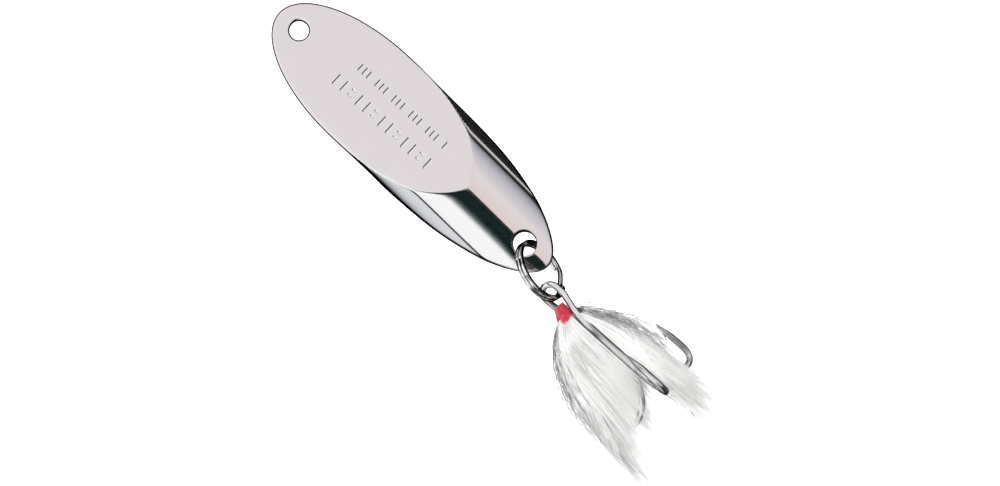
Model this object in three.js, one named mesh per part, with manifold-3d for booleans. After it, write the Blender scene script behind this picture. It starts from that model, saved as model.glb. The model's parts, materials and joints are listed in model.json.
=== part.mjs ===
// Spoon lure: a chrome plated brass bar slice, a split ring and a treble hook dressed with white hair.
// Millimetres, +Z up. The lure hangs nose up. The flat front face lies in the plane y = 0 and looks
// along -Y; the origin is the centre of that face. Left is -X and right is +X.
import * as THREE from "three";
import { ConvexGeometry } from "three/addons/geometries/ConvexGeometry.js";
import { mergeVertices } from "three/addons/utils/BufferGeometryUtils.js";
import Module from "manifold-3d";

const wasm = await Module();
wasm.setup();

// ---------------------------------------------------------------- materials
const FINISH = {
  chrome: { color: 0xd9d6d8, metalness: 1, roughness: 0.12 },
  ringNickel: { color: 0xc9c9c8, metalness: 1, roughness: 0.15 },
  hookNickel: { color: 0xc9c9c8, metalness: 1, roughness: 0.18 },
  braze: { color: 0xb9b2a0, metalness: 1, roughness: 0.35 },
  thread: { color: 0xdf3f57, metalness: 0, roughness: 0.6 },
  hair: { color: 0xf0f0ee, metalness: 0, roughness: 0.9 },
};

// ---------------------------------------------------------------- helpers
const { degToRad, lerp } = THREE.MathUtils;
const vec = (x, y, z) => new THREE.Vector3(x, y, z);

// A manifold from a closed geometry. insideOut marks one whose triangles all face inwards.
function solid(geometry, insideOut = false) {
  geometry.deleteAttribute("normal");
  geometry.deleteAttribute("uv");
  const merged = mergeVertices(geometry, 1e-4);
  const triangles = new Uint32Array(merged.index.array);
  if (insideOut) {
    for (let i = 0; i < triangles.length; i += 3) {
      [triangles[i + 1], triangles[i + 2]] = [triangles[i + 2], triangles[i + 1]];
    }
  }
  return new wasm.Manifold(
    new wasm.Mesh({
      numProp: 3,
      vertProperties: new Float32Array(merged.attributes.position.array),
      triVerts: triangles,
    }),
  );
}

function piece(name, manifold, finish) {
  const { vertProperties, triVerts } = manifold.getMesh();
  const geometry = new THREE.BufferGeometry();
  const positions = new THREE.BufferAttribute(new Float32Array(vertProperties), 3);
  geometry.setAttribute("position", positions);
  geometry.setIndex(new THREE.BufferAttribute(new Uint32Array(triVerts), 1));
  geometry.computeVertexNormals();
  const mesh = new THREE.Mesh(geometry, new THREE.MeshStandardMaterial(finish));
  mesh.name = name;
  return mesh;
}

// A wire of round section along a curve.
function wire(points, radius, steps, sides) {
  const section = [];
  for (let i = 0; i < sides; i++) {
    const angle = (2 * Math.PI * i) / sides;
    section.push(new THREE.Vector2(radius * Math.cos(angle), radius * Math.sin(angle)));
  }
  const extrudePath = new THREE.CatmullRomCurve3(points, false, "centripetal");
  const options = { steps, bevelEnabled: false, extrudePath };
  return solid(new THREE.ExtrudeGeometry(new THREE.Shape(section), options));
}

// A straight round rod whose radius runs from startRadius to endRadius.
function rod(start, end, startRadius, endRadius, sides) {
  const axis = end.clone().sub(start);
  const length = axis.length();
  const geometry = new THREE.CylinderGeometry(endRadius, startRadius, length, sides);
  geometry.translate(0, length / 2, 0);
  const turn = new THREE.Quaternion().setFromUnitVectors(vec(0, 1, 0), axis.normalize());
  geometry.applyQuaternion(turn);
  geometry.translate(start.x, start.y, start.z);
  return solid(geometry);
}

// Cuts the tools out and keeps the largest piece that is left.
function carve(blank, tools) {
  const carved = tools.reduce((rest, tool) => rest.subtract(tool), blank);
  return carved.decompose().sort((a, b) => b.volume() - a.volume())[0];
}

// ---------------------------------------------------------------- body
const FACE_HALF_LENGTH = 17.2; // of the flat face's ellipse
const FACE_HALF_WIDTH = 7.79; // of the same ellipse, and of the bar
const OUTLINE_HALF_LENGTH = 25.4; // half the body's length
const OUTLINE_HALF_WIDTH = 8.1;
const OUTLINE_CENTRE_Z = FACE_HALF_LENGTH - OUTLINE_HALF_LENGTH;
const OUTLINE_HEADROOM = 3; // the outline's straight sides run this far past the nose
const RIDGE_TOP_Z = -18.4; // where the centre ridge leaves the flat face
const BAR_SLOPE = Math.tan(degToRad(20)); // of the bar's own axis to the flat face
const BACK_SLOPE = Math.tan(degToRad(5.6)); // of the back face to the flat face
const NOSE_THICKNESS = 0.93;
const BACK_INSET = 0.27; // of the back face's rim, as a share of the thickness
const BULGE_INSET = 0.25; // of the edge's middle line, as a share of the back rim's inset
const BULGE_DEPTH = 0.55; // of the edge's middle line, as a share of the thickness
const RIM_STEPS = 18; // from the widest part of the face to the nose
const TIE_HOLE = { z: 13.4, radius: 1.36 };
const HOOK_HOLE = { z: -29.1, radius: 1.62 };
// Cutting tools run from in front of the body to behind it
const CUT_FRONT_Y = -2;
const CUT_DEPTH = 12;
// Half section of the bar: x from the ridge, and how far up the flat face that line starts
const BAR_PROFILE = [
  [0, 0], [0.41, 0.2], [1.17, 0.62], [2.06, 1.24], [2.7, 1.85],
  [4.0, 3.35], [5.2, 4.95], [5.5, 5.4], [6.04, 6.7], [6.56, 8.5],
  [7.02, 10.35], [7.4, 12.2], [7.66, 14.6], [7.77, 17.2], [FACE_HALF_WIDTH, -RIDGE_TOP_Z],
];

const backY = (z) => NOSE_THICKNESS + (FACE_HALF_LENGTH - z) * BACK_SLOPE;

// Corners of the convex blank: the bar's lines run down and back from the flat face to the back
// face, and elliptical rims round the nose.
function blankPoints() {
  const points = [];
  for (const side of [1, -1]) {
    for (const [x, rise] of BAR_PROFILE) {
      if (x === 0 && side < 0) continue; // the ridge is already there
      const z = RIDGE_TOP_Z + rise;
      const drop = backY(z) / (BAR_SLOPE - BACK_SLOPE);
      points.push(vec(side * x, 0, z), vec(side * x, drop * BAR_SLOPE, z - drop));
    }
    for (let i = 0; i <= RIM_STEPS; i++) {
      if (i === RIM_STEPS && side < 0) continue; // the nose is already there
      const angle = ((i / RIM_STEPS) * Math.PI) / 2;
      const rimX = (inset) => side * (FACE_HALF_WIDTH - inset) * Math.cos(angle);
      const rimZ = (inset) => (FACE_HALF_LENGTH - inset) * Math.sin(angle);
      const backInset = BACK_INSET * backY(rimZ(0));
      const bulgeInset = BULGE_INSET * backInset;
      const backZ = rimZ(backInset);
      const bulgeZ = rimZ(bulgeInset);
      points.push(vec(rimX(0), 0, rimZ(0)));
      points.push(vec(rimX(backInset), backY(backZ), backZ));
      points.push(vec(rimX(bulgeInset), backY(bulgeZ) * BULGE_DEPTH, bulgeZ));
    }
  }
  return points;
}

// Half an ellipse rounds the tail; straight sides leave the nose to the flat face's own ellipse.
function outlinePrism() {
  const outline = new THREE.Shape();
  const top = FACE_HALF_LENGTH + OUTLINE_HEADROOM;
  outline.absellipse(
    0, OUTLINE_CENTRE_Z,
    OUTLINE_HALF_WIDTH, OUTLINE_HALF_LENGTH,
    Math.PI, 2 * Math.PI, false, 0,
  );
  outline.lineTo(OUTLINE_HALF_WIDTH, top);
  outline.lineTo(-OUTLINE_HALF_WIDTH, top);
  const options = { depth: CUT_DEPTH, bevelEnabled: false, curveSegments: 60 };
  const geometry = new THREE.ExtrudeGeometry(outline, options);
  geometry.rotateX(Math.PI / 2); // shape x, y become x, z and the depth runs along -Y
  geometry.translate(0, CUT_FRONT_Y + CUT_DEPTH, 0);
  return solid(geometry);
}

function bore({ z, radius }) {
  const geometry = new THREE.CylinderGeometry(radius, radius, CUT_DEPTH, 40);
  geometry.translate(0, CUT_FRONT_Y + CUT_DEPTH / 2, z);
  return solid(geometry);
}

function makeBody() {
  return solid(new ConvexGeometry(blankPoints()))
    .intersect(outlinePrism())
    .subtract(bore(TIE_HOLE))
    .subtract(bore(HOOK_HOLE));
}

// ---------------------------------------------------------------- split ring
const RING_RADIUS = 4.3; // to the middle of the wire
const RING_WIRE_RADIAL = 0.7;
const RING_WIRE_AXIAL = 0.5;
const RING_WIRE_CHAMFER = 0.14;
const RING_PITCH = 0.55; // between the two coils
const RING_LEAN = degToRad(17); // how far the ring hangs to the left
const RING_TURN = degToRad(35.4); // of the ring's plane from square to the flat face
const RING_Y = 4.72; // near the middle of the body's thickness at the hook hole
const COIL_STEP_AT = 300; // degrees from the lowest point to the step between the coils
const COIL_STEP_HALF = 16; // half the degrees that the step takes
const COIL_END_GAP = 4; // degrees between the step and each end of the wire
const COIL_SEGMENT = 8; // degrees

// The ring's frame: down through its middle, across in its plane towards the front, and its normal
const ringDown = vec(-Math.sin(RING_LEAN), 0, -Math.cos(RING_LEAN));
const ringAcross = vec(-Math.cos(RING_LEAN), 0, Math.sin(RING_LEAN))
  .multiplyScalar(Math.sin(RING_TURN))
  .add(vec(0, -Math.cos(RING_TURN), 0));
const ringNormal = ringDown.clone().cross(ringAcross);
const ringCentre = vec(0, RING_Y, HOOK_HOLE.z).addScaledVector(ringDown, RING_RADIUS);

// Half an octagon-like section, as [radial, axial] corners, mirrored for the other half.
function ringSection() {
  const radial = RING_WIRE_RADIAL / 2;
  const axial = RING_WIRE_AXIAL / 2;
  const half = [
    [radial, axial - RING_WIRE_CHAMFER],
    [radial - RING_WIRE_CHAMFER, axial],
    [-radial + RING_WIRE_CHAMFER, axial],
    [-radial, axial - RING_WIRE_CHAMFER],
  ];
  const corners = [...half, ...half.map(([r, n]) => [-r, -n])];
  return new THREE.Shape(corners.map(([r, n]) => new THREE.Vector2(r, n)));
}

// Two turns of wire: [outward direction, middle of the wire] at each segment
function ringStations() {
  const stations = [];
  const margin = COIL_STEP_HALF + COIL_END_GAP;
  for (let turned = margin; turned <= 720 - margin; turned += COIL_SEGMENT) {
    const level = THREE.MathUtils.smoothstep(turned, 360 - COIL_STEP_HALF, 360 + COIL_STEP_HALF);
    const angle = degToRad(turned + COIL_STEP_AT);
    const outward = ringDown
      .clone()
      .multiplyScalar(Math.cos(angle))
      .addScaledVector(ringAcross, Math.sin(angle));
    const middle = ringCentre
      .clone()
      .addScaledVector(outward, RING_RADIUS)
      .addScaledVector(ringNormal, RING_PITCH * (level - 0.5));
    stations.push([outward, middle]);
  }
  return stations;
}

// A straight bar is bent station by station, so the section's long side stays radial.
function makeRing() {
  const stations = ringStations();
  const steps = stations.length - 1;
  const bar = new THREE.ExtrudeGeometry(ringSection(), { steps, depth: steps, bevelEnabled: false });
  const position = bar.getAttribute("position");
  for (let i = 0; i < position.count; i++) {
    const [outward, middle] = stations[Math.round(position.getZ(i))];
    const bent = middle
      .clone()
      .addScaledVector(outward, position.getX(i))
      .addScaledVector(ringNormal, position.getY(i));
    position.setXYZ(i, bent.x, bent.y, bent.z);
  }
  return solid(bar, true); // the bend mirrors the bar
}

// ---------------------------------------------------------------- treble hook
// Heights are measured down the hook's axis from the ring's wire.
const WIRE_RADIUS = 0.475;
const WIRE_SIDES = 10;
const EYE_RADIUS = 1.3; // to the middle of the wire
const EYE_RISE = 0.9; // the eye's arch is centred this far above the ring's wire
const BUNDLE_RADIUS = 0.66; // of the three shanks' middles about the hook's axis
const THIRD_SHANK_TOP = 3.2;
const POINT_BASE = [8.02, 15.2]; // outwards, down
const POINT_TIP = [7.85, 12.4];
const POINT_OVERLAP = 0.1; // the point starts this far inside the wire
const POINT_TIP_RADIUS = 0.06;
// The bend: outwards from the hook's axis, down
const HOOK_PROFILE = [
  [BUNDLE_RADIUS, 12.5], [0.82, 14.2], [1.3, 15.9], [2.2, 17.4], [3.4, 18.6], [4.9, 19.45],
  [6.3, 19.7], [7.4, 19.3], [8.0, 18.2], [8.08, 16.8], POINT_BASE,
];
// From the eye to the bundle: down, share of the way from the eye's side to the bundle
const LEG_PROFILE = [
  [-0.5, 0], [0.4, 0.03], [1.5, 0.3], [2.8, 0.62], [4.6, 0.88], [6.8, 0.98], [9, 1],
];

const hookTop = ringCentre.clone().addScaledVector(ringDown, RING_RADIUS);
const hookDown = vec(0.0174, 0, -1).normalize();
const hookFront = vec(0, -1, 0);
const hookRight = hookFront.clone().cross(hookDown);
const eyeSide = ringAcross.clone().cross(hookDown).normalize(); // the eye's right side

// A direction out from the hook's axis, turned from the front towards the right
const spoke = (degrees) =>
  hookFront
    .clone()
    .multiplyScalar(Math.cos(degToRad(degrees)))
    .addScaledVector(hookRight, Math.sin(degToRad(degrees)));
const FRONT_HOOK = spoke(0);
const RIGHT_HOOK = spoke(120);
const LEFT_HOOK = spoke(-120);

const below = (down, offset) => hookTop.clone().addScaledVector(hookDown, down).add(offset);
const onSpoke = (direction, outwards, down) =>
  below(down, direction.clone().multiplyScalar(outwards));
const inBundle = (direction, down) => onSpoke(direction, BUNDLE_RADIUS, down);
const bend = (direction) =>
  HOOK_PROFILE.map(([outwards, down]) => onSpoke(direction, outwards, down));

// A shank from one side of the eye (1 right, -1 left) to its place in the bundle
const leg = (direction, side) =>
  LEG_PROFILE.map(([down, share]) =>
    onSpoke(eyeSide, side * EYE_RADIUS, down).lerp(inBundle(direction, down), share),
  );

function eyeArch() {
  const points = [];
  for (let degrees = 15; degrees <= 165; degrees += 15) {
    const angle = degToRad(degrees);
    const down = -EYE_RISE - EYE_RADIUS * Math.sin(angle);
    points.push(onSpoke(eyeSide, EYE_RADIUS * Math.cos(angle), down));
  }
  return points;
}

function hookPoint(direction) {
  const [baseOut, baseDown] = POINT_BASE;
  const start = onSpoke(direction, baseOut, baseDown + POINT_OVERLAP);
  const end = onSpoke(direction, ...POINT_TIP);
  return rod(start, end, WIRE_RADIUS, POINT_TIP_RADIUS, WIRE_SIDES);
}

// One wire makes the front hook, the eye and the left hook.
function makeDoubleWire() {
  const path = [
    ...bend(FRONT_HOOK).reverse(),
    ...leg(FRONT_HOOK, 1).reverse(),
    ...eyeArch(),
    ...leg(LEFT_HOOK, -1),
    ...bend(LEFT_HOOK),
  ];
  return wire(path, WIRE_RADIUS, 104, WIRE_SIDES)
    .add(hookPoint(FRONT_HOOK))
    .add(hookPoint(LEFT_HOOK));
}

function makeThirdWire() {
  const shank = [inBundle(RIGHT_HOOK, THIRD_SHANK_TOP), inBundle(RIGHT_HOOK, 8)];
  const path = [...shank, ...bend(RIGHT_HOOK)];
  return wire(path, WIRE_RADIUS, 40, WIRE_SIDES).add(hookPoint(RIGHT_HOOK));
}

// Room for the three shanks, to cut from what surrounds them
function shankCores({ clearance, legSides, thirdTop }) {
  const bottom = 13;
  const radius = WIRE_RADIUS + clearance;
  const legCore = (direction, side) =>
    wire([...leg(direction, side), inBundle(direction, bottom)], radius, 40, legSides);
  const thirdStart = inBundle(RIGHT_HOOK, thirdTop);
  return [
    legCore(FRONT_HOOK, 1),
    legCore(LEFT_HOOK, -1),
    rod(thirdStart, inBundle(RIGHT_HOOK, bottom), radius, radius, 14),
  ];
}

// ---------------------------------------------------------------- braze
const BRAZE_TOP = 5.8;
const BRAZE_BOTTOM = 10.7;
const BRAZE_RADIUS = 0.82;
const BRAZE_TAPER = 0.8; // bottom radius over top radius

// Fills the valleys between the three shanks.
function makeBraze() {
  const top = onSpoke(FRONT_HOOK, 0, BRAZE_TOP);
  const bottom = onSpoke(FRONT_HOOK, 0, BRAZE_BOTTOM);
  const blank = rod(top, bottom, BRAZE_RADIUS, BRAZE_RADIUS * BRAZE_TAPER, 18);
  return carve(blank, shankCores({ clearance: 0.045, legSides: 14, thirdTop: 2 }));
}

// ---------------------------------------------------------------- thread and hair
const WRAP_TOP = 0.95;
const WRAP_LENGTH = 2.45;
const WRAP_TOP_MIDDLE = { x: -0.62, y: 0.46 };
const WRAP_LEAN = { x: -0.34, y: -0.03 }; // sideways travel for each millimetre down
const WRAP_TOP_RADIUS = 0.86;
const WRAP_BOTTOM_RADIUS = 1.48;
const WRAP_DEPTH_RATIO = 0.92; // depth over width

// Lump rows: down, middle to the right, middle to the back, half width, half depth
const HAIR_LEFT = [
  [3.7, -2.15, -0.05, 0.7, 0.6],
  [6, -3.9, -0.6, 2.2, 1.1],
  [10, -5.2, -1.0, 3.3, 1.6],
  [15, -5.9, -1.3, 3.9, 1.8],
  [19, -6.2, -1.5, 4.0, 1.8],
  [24, -6.3, -1.4, 3.6, 1.5],
  [28.5, -6.2, -1.2, 1.8, 0.8],
];
const HAIR_RIGHT = [
  [3.9, 1.75, -0.05, 0.5, 0.5],
  [7, 2.3, -0.3, 1.1, 0.85],
  [11, 2.85, -0.55, 1.5, 1.05],
  [15, 3.3, -0.95, 1.8, 1.15],
  [19, 3.8, -1.4, 2.1, 1.25],
  [24, 3.8, -1.5, 2.9, 1.4],
  [28.5, 3.5, -1.3, 1.6, 0.8],
];
const HAIR_REAR = [
  [3.9, 0, 1.6, 0.5, 0.5],
  [8, 0, 2.35, 1.1, 0.8],
  [13, 0, 3.1, 1.6, 1.05],
  [17, 0, 3.8, 1.9, 1.2],
  [20, -0.2, 4.4, 2.1, 1.3],
  [24, -0.7, 4.6, 3.1, 1.4],
  [28, -0.9, 4.5, 1.8, 0.9],
];

// The lump row at a height, interpolated between its neighbours
function rowAt(rows, down) {
  let i = 0;
  while (i < rows.length - 2 && down > rows[i + 1][0]) i++;
  const share = (down - rows[i][0]) / (rows[i + 1][0] - rows[i][0]);
  return rows[i].map((value, column) => lerp(value, rows[i + 1][column], share));
}

// A closed soft lump: elliptical slices that follow the rows and close to a point at each end.
function lump(rows, around, along) {
  const profile = [];
  for (let i = 0; i <= along; i++) {
    profile.push(new THREE.Vector2(i === 0 || i === along ? 0 : 1, i / along));
  }
  const geometry = new THREE.LatheGeometry(profile, around);
  const position = geometry.getAttribute("position");
  for (let i = 0; i < position.count; i++) {
    const down = lerp(rows[0][0], rows.at(-1)[0], position.getY(i));
    const [, x, y, halfWidth, halfDepth] = rowAt(rows, down);
    const offset = vec(x + halfWidth * position.getX(i), y + halfDepth * position.getZ(i), 0);
    const point = below(down, offset);
    position.setXYZ(i, point.x, point.y, point.z);
  }
  return solid(geometry);
}

// A flared binding to the left of the hook's axis and behind it, cut out round the shanks.
function makeWrap() {
  const rows = [0, 1].map((share) => {
    const drop = WRAP_LENGTH * share;
    const radius = lerp(WRAP_TOP_RADIUS, WRAP_BOTTOM_RADIUS, share);
    return [
      WRAP_TOP + drop,
      WRAP_TOP_MIDDLE.x + WRAP_LEAN.x * drop,
      WRAP_TOP_MIDDLE.y + WRAP_LEAN.y * drop,
      radius,
      radius * WRAP_DEPTH_RATIO,
    ];
  });
  const cores = shankCores({ clearance: 0.08, legSides: 12, thirdTop: 2.6 });
  return carve(lump(rows, 20, 8), cores);
}

const makeHair = (rows) => lump(rows, 16, 14);

// ---------------------------------------------------------------- assembly
const treble = new THREE.Group();
treble.add(
  piece("hook_double_wire", makeDoubleWire(), FINISH.hookNickel),
  piece("hook_third_wire", makeThirdWire(), FINISH.hookNickel),
  piece("hook_braze", makeBraze(), FINISH.braze),
  piece("thread_wrap", makeWrap(), FINISH.thread),
  piece("hair_bundle_left", makeHair(HAIR_LEFT), FINISH.hair),
  piece("hair_bundle_right", makeHair(HAIR_RIGHT), FINISH.hair),
  piece("hair_bundle_rear", makeHair(HAIR_REAR), FINISH.hair),
);

const lure = new THREE.Group();
lure.name = "spoon_lure";
lure.add(
  piece("spoon_body", makeBody(), FINISH.chrome),
  piece("split_ring", makeRing(), FINISH.ringNickel),
  treble,
);

export default lure;
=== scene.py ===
"""A spoon lure: chrome body, split ring, treble hook, red thread binding and three hair bundles.

The lure hangs down -Z from the tie hole. Its stamped flat face looks along -Y (the front), and +X
is to the right seen from there. Lengths are in millimetres and become metres at Blender.
"""
import json
import math

import bpy
import numpy as np
from mathutils import Matrix, Vector
from mathutils.geometry import delaunay_2d_cdt


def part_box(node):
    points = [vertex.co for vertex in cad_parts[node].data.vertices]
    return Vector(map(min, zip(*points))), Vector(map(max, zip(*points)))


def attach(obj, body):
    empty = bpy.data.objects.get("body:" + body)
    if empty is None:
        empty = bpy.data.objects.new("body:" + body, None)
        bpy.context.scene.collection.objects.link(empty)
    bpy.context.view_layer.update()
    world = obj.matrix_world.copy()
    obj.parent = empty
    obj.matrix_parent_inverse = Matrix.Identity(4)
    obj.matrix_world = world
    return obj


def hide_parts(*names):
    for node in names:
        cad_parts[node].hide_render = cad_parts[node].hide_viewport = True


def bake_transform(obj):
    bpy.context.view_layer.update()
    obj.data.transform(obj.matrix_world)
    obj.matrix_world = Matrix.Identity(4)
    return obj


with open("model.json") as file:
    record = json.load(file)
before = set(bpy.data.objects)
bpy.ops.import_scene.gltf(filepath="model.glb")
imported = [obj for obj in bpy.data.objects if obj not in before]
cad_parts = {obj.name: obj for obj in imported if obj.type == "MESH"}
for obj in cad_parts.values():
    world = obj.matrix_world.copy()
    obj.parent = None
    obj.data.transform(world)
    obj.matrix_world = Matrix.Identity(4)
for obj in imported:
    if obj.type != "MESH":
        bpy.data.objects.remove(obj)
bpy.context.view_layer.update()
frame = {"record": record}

MM = 0.001
JOINTS = {joint["name"]: joint for joint in frame["record"]["behaviour"]["joints"]}
X_AXIS = np.array([1.0, 0, 0])
Y_AXIS = np.array([0, 1.0, 0])


def unit(v):
    v = np.asarray(v, float)
    return v / np.linalg.norm(v)


def joint_place(name):
    return np.array(JOINTS[name]["pos_m"], float) / MM


body_lo, body_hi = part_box("spoon_body")
BODY_TOP = body_hi[2] / MM
BODY_LOW = body_lo[2] / MM
HALF_W = body_hi[0] / MM
HOLE = joint_place("ring_swing")  # middle of the hook hole
PIVOT = joint_place("hook_swing")  # the ring's wire inside the hook's eye

# ------------------------------------------------------------------ mesh helpers


def add_object(name, mesh):
    ob = bpy.data.objects.new(name, mesh)
    bpy.context.scene.collection.objects.link(ob)
    return ob


def make_mesh(name, verts, faces, smooth=True, normals=None):
    mesh = bpy.data.meshes.new(name)
    mesh.from_pydata((np.asarray(verts, float) * MM).tolist(), [], [tuple(f) for f in faces])
    mesh.validate(clean_customdata=False)
    mesh.update()
    if smooth:
        mesh.polygons.foreach_set("use_smooth", [True] * len(mesh.polygons))
    if normals is not None:
        mesh.normals_split_custom_set_from_vertices([tuple(n) for n in normals])
    return add_object(name, mesh)


def fast_mesh(name, verts, tris):
    """Many smooth triangles at once."""
    mesh = bpy.data.meshes.new(name)
    coords = (np.asarray(verts, np.float32) * MM).reshape(-1)
    tris = np.asarray(tris, np.int32)
    mesh.vertices.add(len(coords) // 3)
    mesh.vertices.foreach_set("co", coords)
    mesh.loops.add(tris.size)
    mesh.loops.foreach_set("vertex_index", tris.reshape(-1))
    mesh.polygons.add(len(tris))
    mesh.polygons.foreach_set("loop_start", np.arange(0, tris.size, 3, dtype=np.int32))
    mesh.polygons.foreach_set("loop_total", np.full(len(tris), 3, np.int32))
    mesh.update(calc_edges=True)
    mesh.polygons.foreach_set("use_smooth", np.ones(len(tris), bool))
    return add_object(name, mesh)


def point_attribute(ob, name, values):
    layer = ob.data.attributes.new(name, "FLOAT", "POINT")
    layer.data.foreach_set("value", values.astype(np.float32))


def register(ob, material, part, body_name):
    """Give a rigid piece its material, hide the part it stands for and hang it from its body's empty.
    """
    ob.data.materials.append(material)
    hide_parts(part)
    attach(ob, body_name)


def catmull(points, per=16):
    """Centripetal Catmull-Rom through the points, with `per` steps between neighbours."""

    def between(t, ta, a, tb, b):
        return (tb - t) / (tb - ta) * a + (t - ta) / (tb - ta) * b

    p = np.asarray(points, float)
    extended = np.vstack([2 * p[0] - p[1], p, 2 * p[-1] - p[-2]])
    out = []
    for i in range(1, len(extended) - 2):
        p0, p1, p2, p3 = extended[i - 1 : i + 3]
        t0 = 0.0
        t1 = t0 + np.linalg.norm(p1 - p0) ** 0.5
        t2 = t1 + np.linalg.norm(p2 - p1) ** 0.5
        t3 = t2 + np.linalg.norm(p3 - p2) ** 0.5
        for k in range(per):
            t = t1 + (t2 - t1) * k / per
            a1 = between(t, t0, p0, t1, p1)
            a2 = between(t, t1, p1, t2, p2)
            a3 = between(t, t2, p2, t3, p3)
            b1 = between(t, t0, a1, t2, a2)
            b2 = between(t, t1, a2, t3, a3)
            out.append(between(t, t1, b1, t2, b2))
    out.append(p[-1])
    return np.array(out)


def resample(path, step):
    """The path at even steps, and the distance along it of each point."""
    run = np.r_[0, np.cumsum(np.linalg.norm(np.diff(path, axis=0), axis=1))]
    n = max(2, int(round(run[-1] / step)) + 1)
    s = np.linspace(0, run[-1], n)
    return np.stack([np.interp(s, run, path[:, k]) for k in range(3)], 1), s


def tangents(path):
    t = np.gradient(path, axis=0)
    t /= np.linalg.norm(t, axis=1)[:, None]
    return t


def frames_along(path):
    """Two directions across the path at each point, carried along without twist."""
    t = tangents(path)
    u = np.zeros_like(path)
    ref = X_AXIS if abs(t[0][0]) < 0.8 else Y_AXIS
    u[0] = unit(ref - ref @ t[0] * t[0])
    for i in range(1, len(path)):
        w = u[i - 1] - (u[i - 1] @ t[i]) * t[i]
        u[i] = w / np.linalg.norm(w)
    return u, np.cross(t, u)


def tube(rings, first, last, flip=False):
    """Closed solid through the rings (n x m x 3), with end fans round the first and last point."""
    n, m = rings.shape[:2]
    faces = []
    for i in range(n - 1):
        for j in range(m):
            a, b = i * m + j, i * m + (j + 1) % m
            faces.append((a, b, b + m, a + m))
    hub, end = n * m, (n - 1) * m
    for j in range(m):
        faces.append((hub, (j + 1) % m, j))
        faces.append((hub + 1, end + j, end + (j + 1) % m))
    if flip:
        faces = [(f[0],) + f[:0:-1] for f in faces]
    return np.vstack([rings.reshape(-1, 3), first, last]), faces


def sweep(path, section, u, v, scale):
    """Closed solid: the section (m x 2) at each path point, along u and v."""
    sec = np.asarray(section, float)
    flat = sec[None, :, 0:1] * u[:, None, :] + sec[None, :, 1:2] * v[:, None, :]
    return tube(path[:, None, :] + flat * scale[:, None, None], path[0], path[-1])


def circle(m, rx=1.0, ry=1.0):
    a = np.arange(m) * 2 * math.pi / m
    return np.stack([np.cos(a) * rx, np.sin(a) * ry], 1)


def join(parts):
    """Several (verts, faces) as one."""
    verts, faces, offset = [], [], 0
    for part_verts, part_faces in parts:
        verts.append(part_verts)
        faces += [tuple(i + offset for i in face) for face in part_faces]
        offset += len(part_verts)
    return np.vstack(verts), faces


# ------------------------------------------------------------------ shader helpers


def feed(tree, socket, value):
    """Link the value if it is a socket, otherwise set it."""
    if isinstance(value, bpy.types.NodeSocket):
        tree.links.new(value, socket)
    else:
        socket.default_value = value


def set_inputs(tree, shader_node, inputs):
    for key, value in inputs.items():
        feed(tree, shader_node.inputs[key], value)


def node(tree, kind, inputs=None, **settings):
    made = tree.nodes.new(kind)
    for key, value in settings.items():
        setattr(made, key, value)
    set_inputs(tree, made, inputs or {})
    return made


def new_material(name):
    material = bpy.data.materials.new(name)
    material.use_nodes = True
    tree = material.node_tree
    return material, tree, tree.nodes["Principled BSDF"]


def math_node(tree, operation, *values):
    return node(tree, "ShaderNodeMath", dict(enumerate(values)), operation=operation).outputs[0]


def map_range(tree, value, start, end, to=(0.0, 1.0), kind="SMOOTHSTEP"):
    """Carries start..end to the `to` range."""
    inputs = {"Value": value, "From Min": start, "From Max": end, "To Min": to[0], "To Max": to[1]}
    return node(tree, "ShaderNodeMapRange", inputs, interpolation_type=kind).outputs["Result"]


def mix_colour(tree, factor, a, b, blend="MIX"):
    inputs = {"Factor": factor, "A": a, "B": b}
    mix = node(tree, "ShaderNodeMix", inputs, data_type="RGBA", blend_type=blend)
    return mix.outputs["Result"]


def grey(level):
    return (level,) * 3


def ramp(tree, factor, stops):
    """Colour ramp with stops of (position, rgb)."""
    made = node(tree, "ShaderNodeValToRGB", {"Fac": factor})
    elements = made.color_ramp.elements
    while len(elements) < len(stops):
        elements.new(0.5)
    for element, (position, colour) in zip(elements, stops):
        element.position = position
        element.color = (*colour, 1)
    return made.outputs["Color"]


def mapping(tree, vector, **inputs):
    return node(tree, "ShaderNodeMapping", {"Vector": vector, **inputs}).outputs["Vector"]


def mm_coords(tree, z_scale=1.0):
    """Object coordinates in millimetres, z scaled to draw a texture out along it."""
    coords = tree.nodes.new("ShaderNodeTexCoord").outputs["Object"]
    return mapping(tree, coords, Scale=(1 / MM, 1 / MM, z_scale / MM))


def noise(tree, vector, **inputs):
    return node(tree, "ShaderNodeTexNoise", {"Vector": vector, **inputs}).outputs["Fac"]


def bump(tree, height, strength, distance):
    inputs = {"Height": height, "Strength": strength, "Distance": distance}
    return node(tree, "ShaderNodeBump", inputs).outputs["Normal"]


# ------------------------------------------------------------------ materials


def paint_wire_dark_reflections(tree, tone, vec, dark, painted_edge_from, stretch_z=1.0):
    """Painted reflection: a thin wire is painted dark at both its edges, where it turns from the eye,
    with broken dark patches between.
    """
    facing = node(tree, "ShaderNodeLayerWeight", {"Blend": 0.5}).outputs["Facing"]
    # painted dark reflection: the wire is darker the more it turns from the eye
    edge = ramp(
        tree,
        facing,
        [(0.0, grey(1)), (painted_edge_from, grey(0.92)), (painted_edge_from + 0.22, grey(dark)), (1.0, grey(dark * 0.5))],
    )
    drawn_out = mapping(tree, vec, Scale=(1.0, 1.0, stretch_z))
    spots = noise(tree, drawn_out, Scale=0.9, Detail=1.5, Roughness=0.5, Distortion=0.4)
    patches = [(0.34, (0.30, 0.31, 0.31)), (0.46, grey(0.80)), (0.58, grey(1))]
    for layer in (edge, ramp(tree, spots, patches)):
        tone = mix_colour(tree, 1.0, tone, layer, "MULTIPLY")
    return tone


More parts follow.
